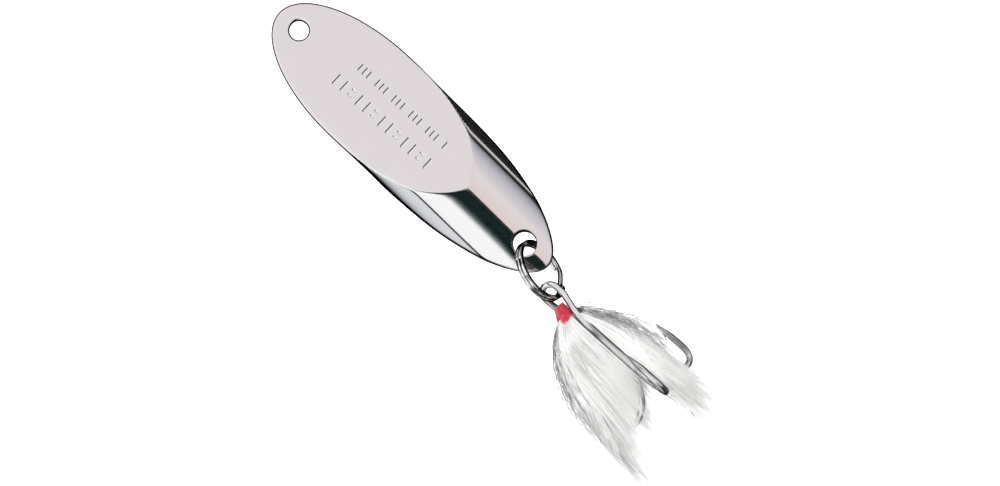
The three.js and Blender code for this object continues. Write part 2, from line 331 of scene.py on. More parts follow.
def plated_metal(name, colour, rough, wear, scratch_scale, bump_strength, wire=None):
    """Plated metal: faint clouding, fine polishing lines and a slightly uneven surface."""
    material, tree, bsdf = new_material(name)
    vec = mm_coords(tree)
    cloud = noise(tree, vec, Scale=0.35, Detail=3.0, Roughness=0.55)
    tone = ramp(tree, cloud, [(0.3, [c * (1 - wear) for c in colour]), (0.7, colour)])
    # a wire gets painted dark reflections at its edges and broken dark patches
    if wire:
        tone = paint_wire_dark_reflections(tree, tone, vec, **wire)
        bsdf.inputs["Specular Tint"].default_value = (0.3, 0.3, 0.3, 1)
    along = mapping(
        tree, vec, Scale=(scratch_scale, scratch_scale, 0.35), Rotation=(0, 0.35, 0)
    )
    lines = noise(tree, along, Scale=1.0, Detail=2.0, Roughness=0.5)
    set_inputs(tree, bsdf, {
        "Base Color": tone,
        "Metallic": 1.0,
        "Roughness": map_range(tree, lines, 0.35, 0.75, to=(rough, rough * 1.8), kind="LINEAR"),
        "Normal": bump(tree, lines, strength=bump_strength, distance=0.02 * MM),
    })
    return material


def paint_dark_rim_reflection(material):
    """Painted reflection: a thin dark line painted along every rim, where the mirror surface turns
    away from the eye.
    """
    tree = material.node_tree
    rim = node(tree, "ShaderNodeAttribute", attribute_name="rim").outputs["Fac"]
    facing = node(tree, "ShaderNodeLayerWeight", {"Blend": 0.5}).outputs["Facing"]
    turned = map_range(tree, facing, 0.045, 0.15)
    band = map_range(tree, rim, 0.10, 0.50)
    factor = math_node(tree, "MULTIPLY", turned, band)
    painted_rim_darks = {"Base Color": (0.02, 0.022, 0.024, 1), "Specular Tint": (0.15, 0.15, 0.15, 1)}
    for key, dark in painted_rim_darks.items():
        socket = tree.nodes["Principled BSDF"].inputs[key]
        before = socket.links[0].from_socket if socket.is_linked else tuple(socket.default_value)
        feed(tree, socket, mix_colour(tree, factor, before, dark))


def thread_material():
    material, tree, bsdf = new_material("red_thread")
    vec = mm_coords(tree)
    clouds = noise(tree, vec, Scale=1.6, Detail=3.0)
    reds = [(0.3, (0.42, 0.012, 0.035)), (0.5, (0.68, 0.035, 0.075)), (0.72, (0.86, 0.12, 0.17))]
    wave = {"Vector": vec, "Scale": 9.0, "Distortion": 2.0, "Detail": 2.0}
    fibre = node(tree, "ShaderNodeTexWave", wave).outputs["Fac"]
    set_inputs(tree, bsdf, {
        "Base Color": ramp(tree, clouds, reds),
        "Roughness": 0.42,
        "Sheen Weight": 0.35,
        "Sheen Tint": (1, 0.6, 0.65, 1),
        "Coat Weight": 0.35,
        "Coat Roughness": 0.25,
        "Normal": bump(tree, fibre, strength=0.35, distance=0.03 * MM),
    })
    return material


def hair_material(name, light, mid, dark, painted_glow, root=1.0):
    """Hair in three tones; `root` dims it near the thread as painted shade, and a faint painted glow
    lights it from within.
    """
    material, tree, bsdf = new_material(name)
    streaks = noise(tree, mm_coords(tree, z_scale=0.22), Scale=2.4, Detail=3.0, Roughness=0.6)
    tones = ramp(tree, streaks, [(0.28, dark), (0.42, mid), (0.6, light)])
    along = node(tree, "ShaderNodeAttribute", attribute_name="along").outputs["Fac"]
    # painted shade: darker near the thread, fading out a third to a half of the way down
    fade = ramp(tree, along, [(0.0, grey(root)), (0.33, grey(root)), (0.52, grey(1))])
    colour = mix_colour(tree, 1.0, tones, fade, "MULTIPLY")
    set_inputs(tree, bsdf, {
        "Base Color": colour,
        "Roughness": 0.6,
        "Sheen Weight": 0.2,
        "Specular IOR Level": 0.4,
        # painted glow: the hair gives off a faint light of its own
        "Emission Color": colour,
        "Emission Strength": painted_glow,
        "Normal": bump(tree, streaks, strength=0.15, distance=0.03 * MM),
    })
    return material


CHROME = plated_metal(
    "chrome_plate", colour=(0.93, 0.915, 0.92), rough=0.07, wear=0.012,
    scratch_scale=9.0, bump_strength=0.03,
)
# the wire settings paint dark reflections along the edges of the hook and ring wires
NICKEL = plated_metal(
    "nickel_wire", colour=(0.93, 0.93, 0.92), rough=0.11, wear=0.05,
    scratch_scale=14.0, bump_strength=0.08, wire=dict(dark=0.05, painted_edge_from=0.52, stretch_z=0.25),
)
RING_NICKEL = plated_metal(
    "ring_nickel", colour=(0.98, 0.98, 0.97), rough=0.07, wear=0.05,
    scratch_scale=14.0, bump_strength=0.06, wire=dict(dark=0.02, painted_edge_from=0.36),
)
BRAZE = plated_metal(
    "braze_metal", colour=(0.76, 0.735, 0.69), rough=0.28, wear=0.18,
    scratch_scale=5.0, bump_strength=0.4,
)
# painted dark reflection along the chrome body's rims
paint_dark_rim_reflection(CHROME)
THREAD = thread_material()
# the hair materials paint shade near the thread and a faint glow
HAIR = hair_material(
    "bucktail_hair", light=(0.975, 0.97, 0.962), mid=(0.955, 0.95, 0.942),
    dark=(0.85, 0.845, 0.838), painted_glow=0.09, root=0.82,
)
# painted shade: a darker copy of the hair, for the right and rear bundles
HAIR_PAINTED_SHADE = hair_material(
    "bucktail_hair_painted_shade", light=(0.98, 0.975, 0.965), mid=(0.94, 0.935, 0.925),
    dark=(0.79, 0.785, 0.78), painted_glow=0.08, root=0.80,
)
HAIR_GREY = hair_material(
    "loose_hair", light=(0.62, 0.62, 0.61), mid=(0.36, 0.36, 0.36), dark=(0.16, 0.16, 0.16), painted_glow=0.0
)

# ------------------------------------------------------------------ spoon body shape
# The body is the space where field() <= 0: a smooth maximum of the flat face, the sloping bar
# below it, the back face, the sides and the two holes, so that every edge is a little rounded.
SLOPE = math.radians(20.0)  # the bar's ridge leans back from the flat face
RIDGE_Z = -18.4  # where the ridge meets the flat face
RIDGE_SOFT = 0.02
SHOULDER_X, SHOULDER_SOFT = 5.5, 0.16
BACK_SLOPE = math.tan(math.radians(5.6))  # the body thickens downwards
TOP_THICK = 0.93
DRAFT, DRAFT_POWER, DRAFT_LOW = 0.27, 2.3, 9.8  # sides draw in to the back, fading out below z = 0
OUTLINE_Z = (BODY_TOP + BODY_LOW) / 2
OUTLINE_A = (BODY_TOP - BODY_LOW) / 2
OUTLINE_B = 8.1
SIDE_EASE = 0.05  # pushes the side out to make up for its rounding
ROUND_RIDGE, ROUND_FACES, ROUND_SIDE, ROUND_OUTLINE = 0.10, 0.06, 0.34, 0.16
# holes: centre (x, z), radius, ease taken off for the rounding, rounding
HOLES = [
    (np.array([0.0, BODY_TOP - 3.8]), 1.36, 0.08, 0.32),
    (np.array([HOLE[0], HOLE[2]]), 1.62, 0.03, 0.22),
]
MARK_DEPTH, MARK_LIP, MARK_WALL = 0.125, 0.04, 0.23


def stamped_marks():
    """Marks as capsules: centre x, centre z, half length along x, half length along z, radius."""
    marks = []
    # left row: bars across, every third replaced by two short upright ones
    for i in range(13):
        z = 4.9 - i * 1.42
        if i % 3 == 2:
            marks += [(x, z, 0.0, 0.22, 0.19) for x in (-1.85, -0.95)]
        else:
            marks.append((-1.4, z, 0.76, 0.0, 0.19))
    # right row: shorter bars across, in groups of three
    for i in range(21):
        if i % 4 != 3:
            marks.append((2.05, 3.6 - i * 0.79, 0.48, 0.0, 0.18))
    return marks


MARKS = stamped_marks()


def smax(a, b, k):
    return 0.5 * (a + b + np.sqrt((a - b) ** 2 + k * k))


def bar_profile(x):
    """How far the bar falls back from its ridge, steeper past the shoulder."""
    away = np.sqrt(x * x + RIDGE_SOFT**2) - RIDGE_SOFT
    inner = np.minimum(away, SHOULDER_X)
    past = away - SHOULDER_X
    flank = 0.1276 * inner + 0.03796 * inner * inner + 0.545 * np.maximum(past, 0)
    soft = 0.5 * (past + np.sqrt(past * past + SHOULDER_SOFT**2))
    return flank + 0.36 * soft + 0.12 * soft**2 + 1.8 * (soft / 2.29) ** 8


def oval(x, z, a, b):
    """Distance to an ellipse, good near its edge."""
    r = np.sqrt((x / a) ** 2 + (z / b) ** 2)
    slope = np.sqrt((x / a**2) ** 2 + (z / b**2) ** 2) / np.maximum(r, 1e-6)
    return (r - 1) / np.maximum(slope, 0.5 / np.maximum(a, b))


def mark_drop(x, z):
    """How deep each point lies in a mark, a groove with sloping walls."""
    distance = np.full(np.shape(x), 9.0)
    for cx, cz, lx, lz, r in MARKS:
        px, pz = x - cx, z - cz
        t = np.clip((px * lx + pz * lz) / (lx * lx + lz * lz), -1, 1)
        distance = np.minimum(distance, np.hypot(px - t * lx, pz - t * lz) - r)
    s = np.clip((MARK_LIP - distance) / MARK_WALL, 0, 1)
    return MARK_DEPTH * s * s * (3 - 2 * s)


def field(x, y, z, holes=True):
    bar = (bar_profile(x) + (RIDGE_Z - z) * math.sin(SLOPE)) / math.cos(SLOPE)
    front = smax(0.0, bar, ROUND_RIDGE)
    back = TOP_THICK + (BODY_TOP - z) * BACK_SLOPE
    fade = np.clip(1 + np.minimum(z, 0) / DRAFT_LOW, 0, 1)
    inset = DRAFT * back * np.clip(y / back, 0, 1.2) ** DRAFT_POWER * fade
    a = HALF_W - inset
    b = BODY_TOP - inset
    side = np.where(z < 0, np.abs(x) - a, oval(x, np.maximum(z, 0), a, b))
    outline = oval(x, np.minimum(z - OUTLINE_Z, 0), OUTLINE_B, OUTLINE_A)
    solid = smax(front - y, y - back, ROUND_FACES)
    solid = smax(solid, side - SIDE_EASE, ROUND_SIDE)
    solid = smax(solid, outline, ROUND_OUTLINE)
    if holes:
        for centre, radius, ease, rounding in HOLES:
            bore = radius - ease - np.hypot(x - centre[0], z - centre[1])
            solid = smax(solid, bore, rounding)
    return solid


def lowest(x, z, holes=True):
    """The y where the field is least, and the field there."""
    lo = np.full(np.shape(x), -0.5)
    hi = np.full(np.shape(x), 7.0)
    for _ in range(46):
        m1 = lo + (hi - lo) * 0.382
        m2 = lo + (hi - lo) * 0.618
        left = field(x, m1, z, holes) < field(x, m2, z, holes)
        hi = np.where(left, m2, hi)
        lo = np.where(left, lo, m1)
    y = (lo + hi) / 2
    return y, field(x, y, z, holes)


def inside(points, margin=0.0):
    return lowest(points[:, 0], points[:, 1])[1] < -margin


def wall(x, z, y_in, y_out):
    """The y of the surface between a place inside the body and one outside."""
    a, b = y_in.copy(), np.full(np.shape(x), y_out, float)
    for _ in range(44):
        m = (a + b) / 2
        solid = field(x, m, z) <= 0
        a = np.where(solid, m, a)
        b = np.where(solid, b, m)
    return (a + b) / 2


def border(centre, angles, r0, r1, outward):
    """Radius along each angle where the body's outline (outward) or a hole's edge lies."""
    ca, sa = np.cos(angles), np.sin(angles)
    a = np.full(len(angles), r0, float)
    b = np.full(len(angles), r1, float)
    for _ in range(40):
        m = (a + b) / 2
        _, f = lowest(centre[0] + m * ca, centre[1] + m * sa, not outward)
        good = f <= 0
        if outward:
            a, b = np.where(good, m, a), np.where(good, b, m)
        else:
            a, b = np.where(good, a, m), np.where(good, m, b)
    return a if outward else b


# ------------------------------------------------------------------ spoon body mesh
# Two sheets of triangles over the x-z plane, front and back, share the outline and hole edges.
OUTLINE_COUNT, HOLE_COUNT = 360, 96
EVEN_B = 8  # half width of the ellipse that spaces the outline points evenly
# distances of the rows of points beside the outline and beside each hole
BESIDE_OUTLINE = [
    0.0015, 0.006, 0.015, 0.03, 0.05, 0.08, 0.12, 0.17, 0.24, 0.33, 0.45, 0.62, 0.85,
]
BESIDE_HOLE = [0.0015, 0.006, 0.015, 0.03, 0.05, 0.08, 0.12, 0.17, 0.24, 0.34, 0.5]
# distances of the rows beside each feature of the front
BESIDE_RIDGE = (0, 0.03, 0.07, 0.13, 0.22, 0.36)
BESIDE_FACE_END = (-0.5, -0.28, -0.15, -0.07, 0, 0.07, 0.15, 0.28, 0.5)
BESIDE_SHOULDER = (-0.3, -0.12, -0.04, 0, 0.04, 0.12, 0.3)
BESIDE_MARK = (-0.15, -0.11, -0.07, -0.03, 0.005, 0.03, 0.05, 0.09)
ROW_STEP, GRID_STEP = 0.28, 0.42
RIM_WIDTH = 0.42


def polar(centre, radius, angles):
    return centre + radius[:, None] * np.stack([np.cos(angles), np.sin(angles)], 1)


def border_points():
    """The closed edges (outline, then each hole) and the rows of points beside them."""
    fine = np.linspace(0, 2 * math.pi, 4001)
    steps = np.hypot(np.diff(EVEN_B * np.cos(fine)), np.diff(OUTLINE_A * np.sin(fine)))
    arc = np.r_[0, np.cumsum(steps)]
    th = np.interp(np.arange(OUTLINE_COUNT) / OUTLINE_COUNT * arc[-1], arc, fine)
    angles = np.arctan2(OUTLINE_A * np.sin(th), EVEN_B * np.cos(th))
    centre = np.array([0.0, OUTLINE_Z])
    edge = polar(centre, border(centre, angles, 2.0, 40.0, True), angles)
    tangent = np.roll(edge, -1, 0) - np.roll(edge, 1, 0)
    inward = np.stack([-tangent[:, 1], tangent[:, 0]], 1)
    inward /= np.linalg.norm(inward, axis=1)[:, None]
    inward *= np.sign(((centre - edge) * inward).sum(1))[:, None]
    edges = [edge]
    beside = [edge + inward * offset for offset in BESIDE_OUTLINE]
    angles = np.arange(HOLE_COUNT) * 2 * math.pi / HOLE_COUNT
    for centre, radius, _, _ in HOLES:
        r = border(centre, angles, radius - 0.3, radius + 1.0, False)
        edges.append(polar(centre, r, angles))
        beside += [polar(centre, r + offset, angles) for offset in BESIDE_HOLE]
    return edges, np.vstack(beside)


def feature_points():
    """Rows along the ridge, the lower end of the flat face and the two shoulders."""
    rows = []
    z = np.arange(BODY_LOW + 0.6, RIDGE_Z + 0.3, ROW_STEP)
    for offset in BESIDE_RIDGE:
        for sign in (1,) if offset == 0 else (1, -1):
            rows.append(np.stack([np.full(len(z), sign * offset), z], 1))
    x = np.linspace(-7.4, 7.4, 90)
    face_end = RIDGE_Z + bar_profile(x) / math.sin(SLOPE)
    rows += [np.stack([x, face_end + offset], 1) for offset in BESIDE_FACE_END]
    z = np.arange(-27.5, -12.8, ROW_STEP)
    for shoulder in (SHOULDER_X, -SHOULDER_X):
        for offset in BESIDE_SHOULDER:
            rows.append(np.stack([np.full(len(z), shoulder + offset), z], 1))
    return np.vstack(rows)


def mark_points():
    """Rings of points round each mark, and a row along its middle."""
    rows = []
    for cx, cz, lx, lz, radius in MARKS:
        half = math.hypot(lx, lz)
        dx, dz = lx / half, lz / half
        for offset in BESIDE_MARK:
            r = radius + offset
            ring = []
            for sign in (1, -1):
                for k in range(9):
                    a = -sign * math.pi / 2 + math.pi * k / 8
                    ring.append((sign * half + r * math.cos(a), r * math.sin(a)))
                for k in range(1, 4):
                    ring.append((sign * (half - 2 * half * k / 4), sign * r))
            u, v = np.array(ring).T
            rows.append(np.stack([cx + u * dx - v * dz, cz + u * dz + v * dx], 1))
        t = np.linspace(-1, 1, 5)
        rows.append(np.stack([cx + t * lx, cz + t * lz], 1))
    return np.vstack(rows)


def grid_points():
    """Staggered fill."""
    xs = np.arange(-8, 8.01, GRID_STEP)
    gx, gz = np.meshgrid(xs, np.arange(BODY_LOW, BODY_TOP, GRID_STEP))
    stagger = (np.round(gz.ravel() / GRID_STEP) % 2) * (GRID_STEP / 2)
    return np.stack([gx.ravel() + stagger, gz.ravel()], 1)


def distance_to(points, others):
    out = np.full(len(points), 9.0)
    for i in range(0, len(others), 400):
        some = others[None, i : i + 400]
        d = np.hypot(points[:, None, 0] - some[..., 0], points[:, None, 1] - some[..., 1])
        out = np.minimum(out, d.min(1))
    return out


def in_polygon(points, polygon):
    x, z = points[:, 0], points[:, 1]
    hits = np.zeros(len(points), int)
    for (ax, az), (bx, bz) in zip(polygon, np.roll(polygon, -1, 0)):
        spans = (az > z) != (bz > z)
        crossing = ax + (z - az) / np.where(bz - az == 0, 1e-12, bz - az) * (bx - ax)
        hits += spans & (x < crossing)
    return hits % 2 == 1


def sheet(edges, beside, front):
    """Triangulated points in the x-z plane, with the index of each edge point."""
    base = np.vstack(edges)
    sets = [base, beside[inside(beside)]]
    if front:
        features = feature_points()
        features = features[inside(features, 0.05)]
        features = features[distance_to(features, np.vstack(sets)) > 0.05]
        sets += [features, mark_points()]
    grid = grid_points()
    grid = grid[inside(grid, 0.05)]
    grid = grid[distance_to(grid, np.vstack(sets)) > 0.17]
    flat = np.vstack(sets + [grid])
    # drop near doubles, but never an edge point
    seen, kept = set(), []
    for i, (a, b) in enumerate(np.round(flat, 3)):
        if (a, b) in seen and i >= len(base):
            continue
        seen.add((a, b))
        kept.append(i)
    flat = flat[kept]
    segments, loops, start = [], [], 0
    for edge in edges:
        n = len(edge)
        loops.append(range(start, start + n))
        segments += [(start + i, start + (i + 1) % n) for i in range(n)]
        start += n
    vectors = [Vector((float(a), float(b))) for a, b in flat]
    result = delaunay_2d_cdt(vectors, segments, [], 0, 1e-5, True)
    points = np.array([(v.x, v.y) for v in result[0]])
    tris = np.array(result[2])
    new_index = {old: i for i, olds in enumerate(result[3]) for old in olds}
    middles = points[tris].mean(1)
    outline, *holes = [points[[new_index[i] for i in loop]] for loop in loops]
    keep = in_polygon(middles, outline)
    for hole in holes:
        keep &= ~in_polygon(middles, hole)
    return points, tris[keep], [new_index[i] for i in range(len(base))]


def surface_y(points, edge_ids, y_out):
    middle, _ = lowest(points[:, 0], points[:, 1])
    y = wall(points[:, 0], points[:, 1], middle, y_out)
    y[edge_ids] = middle[edge_ids]
    return y


def face_towards(verts, tris, sign):
    """Turn the triangles so that their normals point along y by the sign."""
    a, b, c = (verts[tris[:, k]] for k in range(3))
    ny = (b[:, 2] - a[:, 2]) * (c[:, 0] - a[:, 0]) - (b[:, 0] - a[:, 0]) * (c[:, 2] - a[:, 2])
    flip = ny * sign < 0
    tris = tris.copy()
    tris[flip] = tris[flip][:, ::-1]
    return tris


def body_normals(verts, front_count):
    """Normals from the field itself, tilted by the marks on the front."""
    e = 1e-4
    x, y, z = verts.T
    nx = field(x + e, y, z) - field(x - e, y, z)
    ny = field(x, y + e, z) - field(x, y - e, z)
    nz = field(x, y, z + e) - field(x, y, z - e)
    slope_x = (mark_drop(x + 0.004, z) - mark_drop(x - 0.004, z)) / 0.008
    slope_z = (mark_drop(x, z + 0.004) - mark_drop(x, z - 0.004)) / 0.008
    front = np.arange(len(verts)) < front_count
    nx = np.where(front, nx - ny * slope_x, nx)
    nz = np.where(front, nz - ny * slope_z, nz)
    normals = np.stack([nx, ny, nz], 1)
    return normals / np.linalg.norm(normals, axis=1)[:, None]


def painted_rim_mask(verts, edges):
    """1 on the outline and hole edges seen from the front, 0 from RIM_WIDTH away: the mask of the
    painted dark rim line.
    """
    dense = []
    for edge in edges:
        following = np.roll(edge, -1, 0)
        for f in np.arange(8) / 8:
            dense.append(edge * (1 - f) + following * f)
    near = distance_to(verts[:, [0, 2]], np.vstack(dense))
    return np.clip(1 - near / RIM_WIDTH, 0, 1)


def build_body():
    edges, beside = border_points()
    front, front_tris, front_edge = sheet(edges, beside, True)
    back, back_tris, back_edge = sheet(edges, beside, False)
    front_y = surface_y(front, front_edge, -1.0)
    back_y = surface_y(back, back_edge, 9.0)
    front_y = front_y + mark_drop(front[:, 0], front[:, 1])
    # the back sheet shares the front's edge points
    remap = np.full(len(back), -1)
    remap[back_edge] = front_edge
    rest = np.where(remap < 0)[0]
    remap[rest] = len(front) + np.arange(len(rest))
    verts = np.vstack([
        np.stack([front[:, 0], front_y, front[:, 1]], 1),
        np.stack([back[:, 0], back_y, back[:, 1]], 1)[rest],
    ])
    tris = np.vstack([
        face_towards(verts, front_tris, -1),
        face_towards(verts, remap[back_tris], 1),
    ])
    normals = body_normals(verts, len(front))
    body = make_mesh("spoon_body_shell", verts, tris.tolist(), normals=normals)
    # the rim attribute masks where the painted dark rim reflection lies
    point_attribute(body, "rim", painted_rim_mask(verts, edges))
    register(body, CHROME, "spoon_body", "spoon")


build_body()

# ------------------------------------------------------------------ split ring
RING_R = float(np.linalg.norm(PIVOT - HOLE)) / 2
RING_C = (PIVOT + HOLE) / 2
DOWN = unit(PIVOT - HOLE)
# the hook's hinge lies along the ring's wire
HINGE = unit(JOINTS["hook_swing"]["axis"])
ACROSS = unit(HINGE - HINGE @ DOWN * DOWN)
RING_N = np.cross(DOWN, ACROSS)
COIL_PITCH = 0.55
WIRE_HALF_R, WIRE_HALF_N, WIRE_CORNER = 0.35, 0.262, 0.13  # radial, along the axis, corner radius
STEP_AT, STEP_HALF = 300, 17  # degrees: where the wire steps between its turns, half that span
END_THINNING = (0.72, 0.88, 0.96)  # scale of the wire's last stations at both ends


def ring_section():
    section = []
    for sx, sy, start in ((1, 1, 0), (-1, 1, 90), (-1, -1, 180), (1, -1, 270)):
        for k in range(5):
            a = math.radians(start + 90 * k / 4)
            section.append((
                sx * (WIRE_HALF_R - WIRE_CORNER) + WIRE_CORNER * math.cos(a),
                sy * (WIRE_HALF_N - WIRE_CORNER) + WIRE_CORNER * math.sin(a),
            ))
    return section


def build_ring():
    """A flat coil of nearly two turns, stepping from one level to the other."""
    turn = np.arange(STEP_HALF + 3, 720 - STEP_HALF - 3 + 0.1, 2.0)
    f = np.clip((turn - 360 + STEP_HALF) / (2 * STEP_HALF), 0, 1)
    level = COIL_PITCH * (f * f * (3 - 2 * f) - 0.5)
    a = np.radians(turn + STEP_AT)
    radial = DOWN[None] * np.cos(a)[:, None] + ACROSS[None] * np.sin(a)[:, None]
    path = RING_C + RING_R * radial + RING_N * level[:, None]
    n = len(turn)
    scale = np.ones(n)
    for k, thin in enumerate(END_THINNING):
        scale[k] = scale[n - 1 - k] = thin
    coil = sweep(path, ring_section(), radial, np.repeat(RING_N[None], n, 0), scale)
    ring = make_mesh("split_ring_coil", *coil)
    register(ring, RING_NICKEL, "split_ring", "ring")


build_ring()

# ------------------------------------------------------------------ treble hook
HOOK_DOWN = unit(np.array([0.0174, 0, -1]))  # along the shanks
EYE_SIDE = np.cross(HOOK_DOWN, HINGE)
EYE_SIDE = unit(EYE_SIDE if EYE_SIDE[0] > 0 else -EYE_SIDE)
FRONT = np.array([0, -1.0, 0])
RIGHT = unit(np.cross(FRONT, HOOK_DOWN))
WIRE_R = 0.475
EYE_R, EYE_RISE = 1.3, 0.9
BUNDLE = 0.66  # distance of each shank from the middle
POINT_LEN = 2.9
# one hook from shank to tip: distance out from the middle, distance down from the hinge
PROFILE = [
    (BUNDLE, 12.5), (0.82, 14.2), (1.3, 15.9), (2.2, 17.4), (3.4, 18.6), (4.9, 19.45),
    (6.3, 19.7), (7.4, 19.3), (8.0, 18.2), (8.08, 16.8), (8.02, 15.2),
    (7.97, 14.3), (7.91, 13.3), (7.85, 12.4),
]
BARB_BASE, TIP = np.array(PROFILE[-4]), np.array(PROFILE[-1])
# from the eye's side to the shank: distance down, share of the way across
LEG = [(-0.5, 0), (0.4, 0.03), (1.5, 0.3), (2.8, 0.62), (4.6, 0.88), (6.8, 0.98), (9, 1)]


def spoke(degrees):
    a = math.radians(degrees)
    return FRONT * math.cos(a) + RIGHT * math.sin(a)


def hook_at(down, offset):
    return PIVOT + HOOK_DOWN * down + offset


def bend(direction):
    return [hook_at(down, direction * out) for out, down in PROFILE]


def leg(sign, direction):
    eye, home = EYE_SIDE * (sign * EYE_R), direction * BUNDLE
    return [hook_at(down, eye * (1 - f) + home * f) for down, f in LEG]


def sharpen(s):
    """Wire radius at distance s from the sharp tip."""
    return WIRE_R * np.clip((np.maximum(s, 0) / POINT_LEN), 0, 1) ** 0.72 + 0.012


def barb(direction):
    """A small sliver lifted from the inside of the spear."""
    along = (BARB_BASE - TIP) / np.linalg.norm(BARB_BASE - TIP)
    inward = np.array([-along[1], along[0]])
    points, radii = [], []
    for k in range(9):
        t = k / 8
        q = TIP + along * (1.3 + 1.5 * t) + inward * (0.12 + 0.85 * t**1.2)
        points.append(hook_at(q[1], direction * q[0]))
        radii.append(0.26 * (1 - t) ** 0.8 + 0.03)
    path = np.array(points)
    side = np.repeat(unit(np.cross(direction, HOOK_DOWN))[None], len(path), 0)
    normal = np.cross(tangents(path), side)
    return sweep(path, circle(8, rx=0.62), side, normal, np.array(radii))


def hook_wire(path, sharp_start):
    """Round wire with a needle point at its end, and at its start if asked."""
    p, s = resample(catmull(path), 0.16)
    r = np.full(len(s), WIRE_R)
    if sharp_start:
        r = np.minimum(r, sharpen(s))
    r = np.minimum(r, sharpen(s[-1] - s))
    # a drawn wire is never quite even
    r = r * (1 + 0.006 * np.sin(s * 1.7) + 0.004 * np.sin(s * 4.3 + 1))
    return sweep(p, circle(20), *frames_along(p), r)


def pair_wire():
    """The front and left hooks, one wire that loops over as the eye."""
    front, left = spoke(0), spoke(-120)
    arch = []
    for degrees in range(15, 166, 10):
        a = math.radians(degrees)
        side = hook_at(-EYE_RISE, EYE_SIDE * EYE_R * math.cos(a))
        arch.append(side - HOOK_DOWN * EYE_R * math.sin(a))
    path = bend(front)[::-1] + leg(1, front)[::-1] + arch + leg(-1, left) + bend(left)
    return join([hook_wire(path, True), barb(front), barb(left)])


def single_wire():
    right = spoke(120)
    path = [hook_at(down, right * BUNDLE) for down in (3.2, 5, 8)] + bend(right)
    return join([hook_wire(path, False), barb(right)])


def braze_fillet():
    """Uneven three-lobed metal that fills between the shanks."""
    n, m = 60, 36
    path = np.array([hook_at(z, np.zeros(3)) for z in np.linspace(3.5, 11.5, n)])
    phase = np.random.default_rng(5).uniform(0, 6.28, 6)
    th = np.arange(m) * 2 * math.pi / m
    rings = []
    for i in range(n):
        f = i / (n - 1)
        grow = min(1, f / 0.12) ** 0.5 * min(1, (1 - f) / 0.16) ** 0.5
        lobes = 0.74 + 0.07 * np.cos(3 * th) + 0.02 * np.sin(5 * th + phase[0] + f * 9)
        r = (lobes + 0.02 * math.sin(f * 17 + phase[1])) * (0.45 + 0.55 * grow)
        rings.append([
            path[i] + (FRONT * math.cos(th[k]) + RIGHT * math.sin(th[k])) * r[k] for k in range(m)
        ])
    return tube(np.array(rings), path[0], path[-1], flip=True)


for name, solid, material, part, slot in (
    ("hook_pair_wire", pair_wire(), NICKEL, "hook_double_wire", "hook_nickel"),
    ("hook_single_wire", single_wire(), NICKEL, "hook_third_wire", "hook_nickel"),
    ("hook_braze_fillet", braze_fillet(), BRAZE, "hook_braze", "braze"),
):
    register(make_mesh(name, *solid), material, part, "hook")

# ------------------------------------------------------------------ thread binding
WRAP_TOP, WRAP_LEN = 0.95, 2.45


def wrap_station(w):
    """Middle and x, y radii of the binding, w from 0 at the top to 1 at its lower rim."""
    x_shift = RIGHT * (-0.62 - 0.34 * WRAP_LEN * w)
    y_shift = np.array([0, 0.46 - 0.03 * WRAP_LEN * w, 0])
    r = 0.86 + 0.62 * w
    return hook_at(WRAP_TOP + WRAP_LEN * w, x_shift + y_shift), r, r * 0.92


def thread_core():
    n, m = 26, 32
    rings = []
    for i in range(n):
        w = i / (n - 1)
        mid, rx, ry = wrap_station(w)
        ease = min(1, w / 0.10, (1 - w) / 0.08)
        k = 0.62 + 0.30 * math.sqrt(max(ease, 0))
        angles = [2 * math.pi * j / m for j in range(m)]
        rings.append([
            mid + X_AXIS * rx * k * math.cos(a) + Y_AXIS * ry * k * math.sin(a) for a in angles
        ])
    return tube(np.array(rings), wrap_station(0)[0], wrap_station(1)[0], flip=True)


def thread_turns(start, end, count, radius, grow, phase, wobble):
    """Turns of thread from one station to another, at `grow` times the binding's radius."""
    steps = int(count * 40)
    points = []
    for i in range(steps + 1):
        f = i / steps
        mid, rx, ry = wrap_station(min(max(start + (end - start) * f, 0), 1))
        a = 2 * math.pi * count * f + phase
        around = mid + X_AXIS * (rx * grow) * math.cos(a) + Y_AXIS * (ry * grow) * math.sin(a)
        points.append(around + HOOK_DOWN * (wobble * math.sin(3 * a + phase)))
    p, _ = resample(np.array(points), 0.07)
    return sweep(p, circle(7), *frames_along(p), np.full(len(p), radius))


binding = join([
    thread_core(),
    thread_turns(0.03, 0.97, count=15, radius=0.085, grow=0.93, phase=0.3, wobble=0.015),
    thread_turns(0.95, 0.25, count=4, radius=0.08, grow=0.99, phase=2.0, wobble=0.02),
    thread_turns(0.35, 0.9, count=6, radius=0.08, grow=1.02, phase=4.0, wobble=0.03),
])
register(make_mesh("thread_binding", *binding), THREAD, "thread_wrap", "hook")

